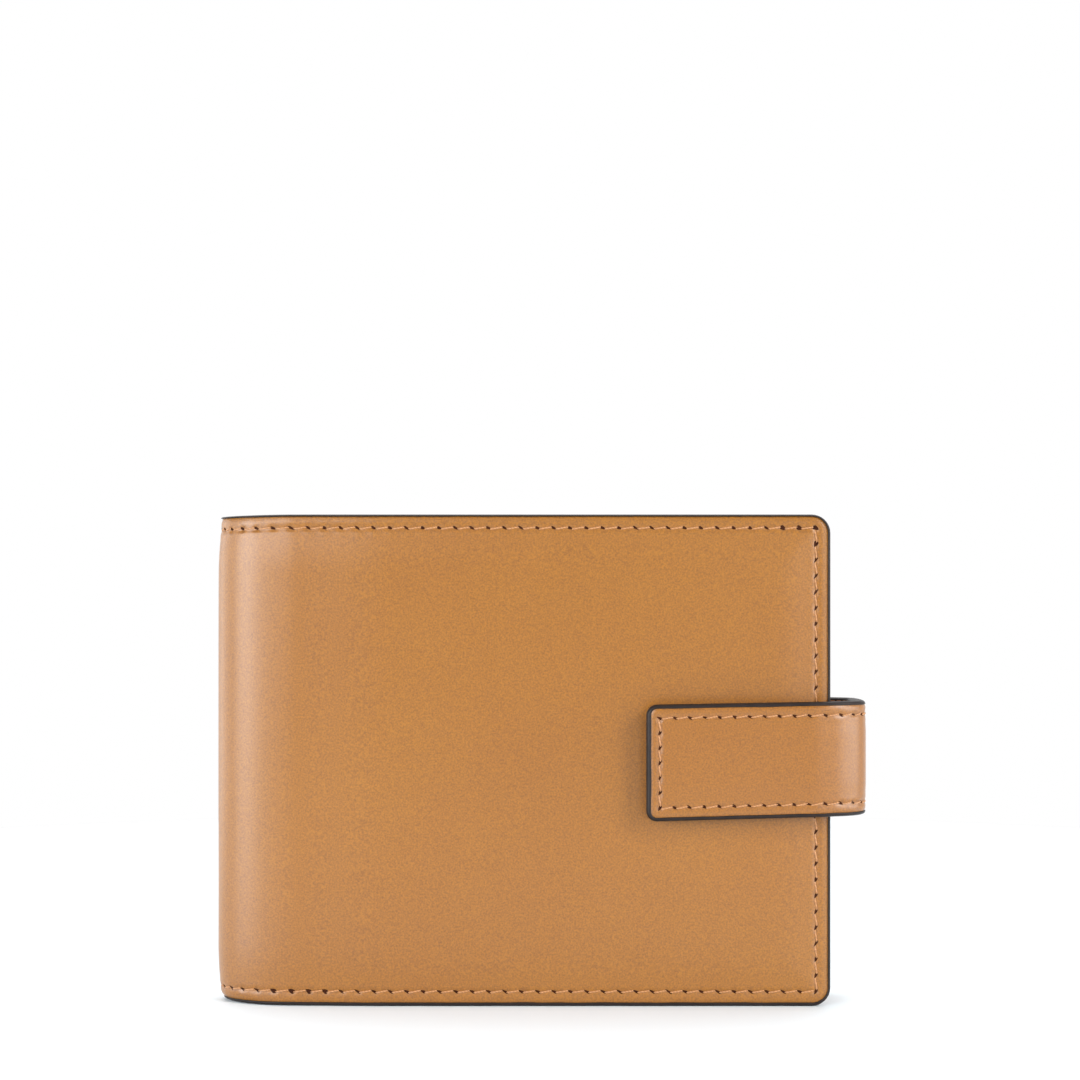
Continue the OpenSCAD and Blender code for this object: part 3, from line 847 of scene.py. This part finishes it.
def make_inside_stitching(side):
    """Down the free edge and along the bottom, and down the slots' inner ends."""
    name, i = SIDES[side], STITCH_INSET
    slots_end = SLOT_S[1] - 2 * MM
    edge_run = [(i, DIVIDER_TOP - 2 * MM), (i, i), (FOLD_START, i)]
    slots_run = [(slots_end, SLOT_TOPS[0] - 1 * MM), (slots_end, i)]
    threads, slits = Shape(), Shape()
    for run in (edge_run, slots_run):
        stitch_row(threads, slits, covers[side], holes_along(run, PITCH), inside_surface, outside=-1)
    row = threads.make(f"{name}_inside_thread", thread)
    pits = slits.make(f"{name}_inside_stitch_holes", hole_shade_paint)
    for obj, slot_name in ((row, "thread"), (pits, "inner_leather")):
        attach(obj, f"{name}_panel")


def make_inside(side):
    make_divider(side)
    make_card_slots(side)
    make_inside_stitching(side)


# ---- The tab ----

TAB_EDGE_LINES = [q * MM for q in (0.6, 0.85, 1.15, 1.5, 1.8, 2.05, 2.2, 2.35, 2.5, 2.65, 2.8, 2.95,
                                   3.3, 3.8)]
TAB_LEATHER_INSET = 0.35 * MM   # its leather's own edge, under the paint


def tab_surface(s, z):
    """Depth of the tab's outer face: a stitch channel, rolled edges and a slightly full middle."""
    s, z = np.asarray(s, float), np.asarray(z, float)
    d = edge_distance(s, z, (0, TAB_SEAM), (0, TAB_W), TAB_CORNER_R, True)
    channel = CHANNEL * np.exp(-((d - TAB_INSET) / CHANNEL_REACH) ** 2)
    rolled = 0.22 * MM * (1 - smooth((d - 0.35 * MM) / (1.0 * MM)))
    return channel + rolled + 0.12 * MM * (1 - smooth((d - TAB_INSET) / (4 * MM)))


def tab_sheet(side, near, far, fine, step, **options):
    """A layer of a half of the tab."""
    inset = TAB_LEATHER_INSET
    return sheet(tabs[side], (inset, TAB_SEAM), (inset, TAB_W - inset), TAB_CORNER_R - inset, near, far,
                 True, fine, step, **options)


def make_tab_leather(side, face):
    shape = tab_sheet(side, 0, TAB_LEATHER_T, TAB_EDGE_LINES, GRID, edge=0.4 * MM, relief=face)
    outer = shape.make(f"tab_{SIDES[side]}_leather", tab_leather)
    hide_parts(*tab_nodes(side, "leather"))
    bend_tab(outer, side)


def make_tab_lining(side):
    shape = tab_sheet(side, TAB_LEATHER_T, TAB_T, [1.2 * MM, 2.4 * MM], 2 * MM)
    lining = shape.make(f"tab_{SIDES[side]}_lining", lining_leather)
    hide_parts(*tab_nodes(side, "lining"))
    bend_tab(lining, side)


def tab_paint_reach(normal_z):
    """The paint is a little narrower along the top and the foot than at the end."""
    return (0.85 - 0.15 * abs(normal_z)) * MM


def make_tab_edge(side):
    chain = outline((0, TAB_SEAM), (0, TAB_W), TAB_CORNER_R, True, step=0.6 * MM)
    shape = paint_edge(tabs[side], chain, 0.1 * MM, TAB_T, tab_paint_reach)
    bend_tab(shape.make(f"tab_{SIDES[side]}_edge", edge_paint), side)


def make_tab_stitching(side, holes, face):
    name = SIDES[side]
    threads, slits = Shape(), Shape()
    stitch_row(threads, slits, tabs[side], holes, face)
    row = threads.make(f"tab_{name}_thread", thread)
    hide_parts(*tab_nodes(side, "stitching"))
    bend_tab(row, side)
    bend_tab(slits.make(f"tab_{name}_stitch_holes", hole_shade_paint), side)


def make_tab(side):
    """The tab's sewn half on the back, or its free half on the front."""
    end, top, i = TAB_SEAM - 1 * MM, TAB_W - TAB_INSET, TAB_INSET
    holes = holes_along([(end, top), (i, top), (i, i), (end, i)], TAB_PITCH)
    face = puckered(tab_surface, holes)
    make_tab_leather(side, face)
    make_tab_lining(side)
    make_tab_edge(side)
    make_tab_stitching(side, holes, face)


# ---- The middle leaf ----

LEAF_Z = (LEAF_LOW.z, LEAF_HIGH.z)
POCKET_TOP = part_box("leaf_card_slot")[1].z
FRAME_WIDTH = 9 * MM            # from the leaf's edge to its window
WINDOW_DROP = 4 * MM            # how much wider the frame is along the top
FRAME_EDGE = [(0.0, 0.5), (0.06, 0.25), (0.22, 0.08), (0.5, 0.0)]  # inset and depth, in thicknesses


def leaf_depths(node):
    """The depths of a leaf node's two sides behind the leaf's front face."""
    low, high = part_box(node)
    return low.y - LEAF_LOW.y, high.y - LEAF_LOW.y


def frame_section(near, far):
    """The frame's section: its share of the way to the inner outline, its inset and its depth."""
    t = far - near
    return ([(0, inset * t, near + depth * t) for inset, depth in FRAME_EDGE]
            + [(share, 0, near) for share in (0.12, 0.3, 0.5, 0.7, 0.88)]
            + [(1, inset * t, near + depth * t) for inset, depth in reversed(FRAME_EDGE)]
            + [(1, inset * t, far - depth * t) for inset, depth in FRAME_EDGE[1:]]
            + [(0.5, 0, far)]
            + [(0, inset * t, far - depth * t) for inset, depth in reversed(FRAME_EDGE[1:])])


def frame_ring(outer, inner, near, far):
    """The shape of a leather frame round a window: its section carried round two outlines."""
    a = outline(*outer, 3 * MM, False, step=2 * MM)
    b = outline(*inner, 3 * MM, False, step=2 * MM)
    b = b[np.arange(len(a)) * len(b) // len(a)]
    rings = []
    for share, inset, depth in frame_section(near, far):
        into_leather = -a[:, 2:] if share == 0 else b[:, 2:]
        place = a[:, :2] * (1 - share) + b[:, :2] * share + into_leather * inset
        rings.append(leaf.at(place[:, 0], place[:, 1], np.full(len(a), depth)))
    shape = Shape()
    shape.add(np.stack(rings, 1), tube_faces(len(a), len(rings), closed=True))
    return shape


def give_leaf(obj):
    """Gives a piece to the leaf."""
    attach(obj, "leaf")


def make_leaf_frame():
    window_s = (FRAME_WIDTH, leaf.length - FRAME_WIDTH)
    window_z = (LEAF_Z[0] + FRAME_WIDTH, LEAF_Z[1] - FRAME_WIDTH - WINDOW_DROP)
    outer = ((0, leaf.length), LEAF_Z)
    shape = frame_ring(outer, (window_s, window_z), *leaf_depths("leaf_window_frame"))
    ring = shape.make("leaf_frame", inner_leather)
    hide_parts("leaf_window_frame")
    give_leaf(ring)


def make_leaf_core():
    shape = sheet(leaf, (0, leaf.length), LEAF_Z, 3 * MM, *leaf_depths("leaf_core"), False, PLAIN_LINES,
                  PLAIN_GRID)
    core = shape.make("leaf_lining", lining_leather)
    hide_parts("leaf_core")
    give_leaf(core)


def make_leaf_pocket():
    shape = sheet(leaf, (0, leaf.length), (LEAF_Z[0], POCKET_TOP), 2.5 * MM,
                  *leaf_depths("leaf_card_slot"), False, PLAIN_LINES, PLAIN_GRID)
    pocket = shape.make("leaf_pocket", inner_leather)
    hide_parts("leaf_card_slot")
    give_leaf(pocket)


def make_leaf_stitching():
    """Round the window frame on one side, and round the pocket on the other."""
    threads, slits = Shape(), Shape()
    i, low, end = STITCH_INSET, LEAF_Z[0] + STITCH_INSET, leaf.length - 3 * MM
    pocket_side = leaf_depths("leaf_card_slot")[1]
    for top, depth, outside in ((LEAF_Z[1] - i, 0, 1), (POCKET_TOP - 1 * MM, pocket_side, -1)):
        holes = holes_along([(end, top), (end, low), (i, low), (i, top)], PITCH)
        stitch_row(threads, slits, leaf, holes, lambda s, z: depth + 0 * np.asarray(s, float), outside)
    row = threads.make("leaf_thread", thread)
    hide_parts("leaf_stitching")
    give_leaf(row)
    give_leaf(slits.make("leaf_stitch_holes", hole_shade_paint))


HINGE_BEND = 0.9 * MM           # radius of the strip's two bends
HINGE_LEVELS = ([(0, 0.4), (0.1, 0.85), (0.3, 1)] + [(level, 1) for level in np.linspace(2, 78, 20)]
                + [(79.7, 1), (79.9, 0.85), (80, 0.4)])     # height in 80ths, and share of thickness


def hinge_route(x, y, t, flange_start, tongue_end):
    """The strip's path seen from above: along the divider, forward, and into the leaf."""
    r = HINGE_BEND
    route = []
    for s in np.linspace(RIGHT - flange_start, RIGHT - x + 1.6 * MM, 6):
        place = covers[1].point(s, HEIGHT / 2, DIVIDER[1] + t / 2)
        route.append((place.x, place.y))
    back = route[-1][1] - 0.1 * MM
    for k in range(6):
        a = math.pi / 2 * k / 5
        route.append((x - r + r * math.sin(a), back - r + r * math.cos(a)))
    route += [(x, back - 1.5 * MM), (x, y + 2.2 * MM), (x, y + 1.5 * MM)]
    for k in range(9):
        a = math.pi / 2 * k / 8
        route.append((x + r - r * math.cos(a), y + r - r * math.sin(a)))
    return np.array(route + [(x + r + 0.6 * MM, y), (tongue_end, y), (tongue_end + 5 * MM, y)])


def make_leaf_hinge():
    """The strip that the leaf swings on, all of one piece."""
    flange_low, flange_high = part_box("leaf_hinge_strip")
    tongue_low, tongue_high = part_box("leaf_hinge_tongue")
    t = tongue_high.y - tongue_low.y
    x, y = flange_high.x - t / 2, (tongue_low.y + tongue_high.y) / 2
    route = hinge_route(x, y, t, flange_low.x, tongue_high.x)
    step = np.gradient(route, axis=0)
    normal = np.stack((-step[:, 1], step[:, 0]), -1) / np.linalg.norm(step, axis=1)[:, None]
    rings = []
    for level, share in HINGE_LEVELS:
        z = flange_low.z + level / 80 * (flange_high.z - flange_low.z)
        thin = t / 2 * share
        loop = np.concatenate((route + normal * thin, (route - normal * thin)[::-1]))
        rings.append(np.column_stack((loop, np.full(len(loop), z))))
    count = len(rings[0])
    faces = tube_faces(len(rings), count)
    for base in (0, (len(rings) - 1) * count):
        for k in range(count // 2 - 1):
            across = base + count - 1 - k
            faces.append([base + k, base + k + 1, across - 1, across])
    shape = Shape()
    shape.add(np.array(rings), faces)
    strip = shape.make("leaf_hinge_leather", inner_leather)
    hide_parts("leaf_hinge_strip", "leaf_hinge_tongue")
    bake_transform(strip)


def make_leaf():
    make_leaf_frame()
    make_leaf_core()
    make_leaf_pocket()
    make_leaf_stitching()
    make_leaf_hinge()


# ---- The press stud ----

# Profiles as (radius, distance from the mounting face) in millimetres.
STUD = [(0, 0), (5.2, 0), (5.45, -0.08), (5.5, -0.25), (5.3, -0.42), (4.9, -0.48), (3.4, -0.4),
        (2.4, -0.42), (2.0, -0.55), (1.75, -0.8), (1.78, -1.0), (2.0, -1.15), (1.98, -1.3),
        (1.7, -1.44), (1.1, -1.5), (0.6, -1.46), (0, -1.38)]
SOCKET = [(0, 0), (5.8, 0), (6.0, 0.15), (6.0, 0.5), (5.8, 0.75), (5.0, 1.0), (4.4, 1.2), (4.0, 1.3),
          (3.6, 1.26), (3.35, 1.1), (3.2, 0.8), (3.2, 0.45), (2.9, 0.25), (0, 0.2)]
TURNS = 48


def lathe(name, centre, base, profile):
    """Turns a profile round an axis along Y, with its mounting face at y = base."""
    angles = [2 * math.pi * k / TURNS for k in range(TURNS)]
    points = []
    for radius, distance in profile:
        r, y = radius * MM, base + distance * MM
        points += [(centre.x + r * math.cos(a), y, centre.z + r * math.sin(a)) for a in angles]
    shape = Shape()
    shape.add(points, tube_faces(len(profile), TURNS))
    return shape.make(name, snap_metal)


def make_stud():
    """The half on the front cover."""
    low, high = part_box("snap_stud")
    obj = lathe("stud", (low + high) / 2, high.y, STUD)
    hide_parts("snap_stud")
    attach(obj, "front_panel")


def make_socket():
    """The half on the tab."""
    low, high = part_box("snap_socket")
    obj = lathe("socket", (low + high) / 2, low.y, SOCKET)
    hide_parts("snap_socket")
    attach(obj, "tab_end")


# ---- Building it ----

for side in SIDES:
    make_cover(side)
    make_inside(side)
    make_tab(side)
make_leaf()
make_stud()
make_socket()

CARRIED = {"snap_post": snap_metal, "snap_cap": snap_metal, "leaf_window_film": film}
for node, material in CARRIED.items():
    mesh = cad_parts[node].data
    mesh.materials.clear()
    mesh.materials.append(material)


# ---- Floor, light and camera ----

def make_floor(radius):
    """A round sheet of matt white acrylic."""
    material = bpy.data.materials.new("floor")
    material.use_nodes = True
    shader = material.node_tree.nodes["Principled BSDF"]
    set_inputs(shader, {"Base Color": (0.82, 0.88, 0.92, 1), "Roughness": 0.7, "Specular IOR Level": 0.2})
    mesh = bpy.data.meshes.new("floor")
    corners = 96
    angles = [2 * math.pi * k / corners for k in range(corners)]
    rim = [(radius * math.cos(a), radius * math.sin(a), 0) for a in angles]
    mesh.from_pydata(rim, [], [range(corners)])
    mesh.materials.append(material)
    floor = bpy.data.objects.new("floor", mesh)
    bpy.context.scene.collection.objects.link(floor)


def softbox(name, azimuth, elevation, distance, size, radiance):
    """A softbox aimed at the wallet. Azimuth goes from the camera's side to the right, in degrees."""
    a, e = math.radians(azimuth), math.radians(elevation)
    centre = Vector((0, 0, HEIGHT / 2))
    offset = Vector((math.sin(a) * math.cos(e), -math.cos(a) * math.cos(e), math.sin(e))) * distance
    data = bpy.data.lights.new(name, "AREA")
    data.shape = "RECTANGLE"
    data.size, data.size_y = size
    data.energy = radiance * math.pi * size[0] * size[1]
    obj = bpy.data.objects.new(name, data)
    obj.location = centre + offset
    obj.rotation_euler = (-offset).to_track_quat("-Z", "Y").to_euler()
    bpy.context.scene.collection.objects.link(obj)


def make_world(front, back):
    """A white studio, brighter behind the wallet than on the camera's side. It shows as pure white."""
    world = bpy.data.worlds.new("studio")
    world.use_nodes = True
    nodes, link = world.node_tree.nodes, world.node_tree.links.new
    light = nodes["Background"]
    white = nodes.new("ShaderNodeBackground")
    for shader in (light, white):
        set_inputs(shader, {"Color": (1, 1, 1, 1)})
    parts = nodes.new("ShaderNodeSeparateXYZ")
    link(nodes.new("ShaderNodeTexCoord").outputs["Generated"], parts.inputs["Vector"])
    shade = nodes.new("ShaderNodeMapRange")
    set_inputs(shade, {"From Min": -0.4, "From Max": 0.6, "To Min": front, "To Max": back})
    link(parts.outputs["Y"], shade.inputs["Value"])
    link(shade.outputs["Result"], light.inputs["Strength"])
    mix = nodes.new("ShaderNodeMixShader")
    link(nodes.new("ShaderNodeLightPath").outputs["Is Camera Ray"], mix.inputs["Fac"])
    link(light.outputs["Background"], mix.inputs[1])
    link(white.outputs["Background"], mix.inputs[2])
    link(mix.outputs["Shader"], nodes["World Output"].inputs["Surface"])
    bpy.context.scene.world = world


def make_camera(distance, view_width, height):
    """A level camera in front of the front cover. view_width is the picture's width there."""
    data = bpy.data.cameras.new("camera")
    data.sensor_width = 36
    data.lens = 36 * distance / view_width
    camera = bpy.data.objects.new("camera", data)
    camera.location = (0, front_bead[0].y - distance, height)
    camera.rotation_euler = (math.pi / 2, 0, 0)
    bpy.context.scene.collection.objects.link(camera)
    bpy.context.scene.camera = camera


make_floor(0.34)
softbox("left", -54, 8, 1.0, (0.46, 0.48), 10.0)
softbox("left_near", -25, 17, 1.0, (0.3, 0.4), 10.0)
softbox("left_rim", -100, 5, 1.0, (0.8, 0.5), 2.4)
softbox("key", 51, 30, 1.0, (0.26, 0.36), 18.5)
softbox("right", 66, 5, 1.0, (0.85, 0.4), 5.8)
softbox("right_near", 22, 8, 1.0, (0.25, 0.35), 4.8)
softbox("overhead", 0, 52, 1.1, (0.9, 0.4), 1.2)
softbox("top", 180, 72, 1.2, (1.0, 1.0), 2.2)
make_world(0.02, 1.15)
bpy.context.scene.view_settings.view_transform = "Standard"
make_camera(500 * MM, 202.6 * MM, 87.6 * MM)
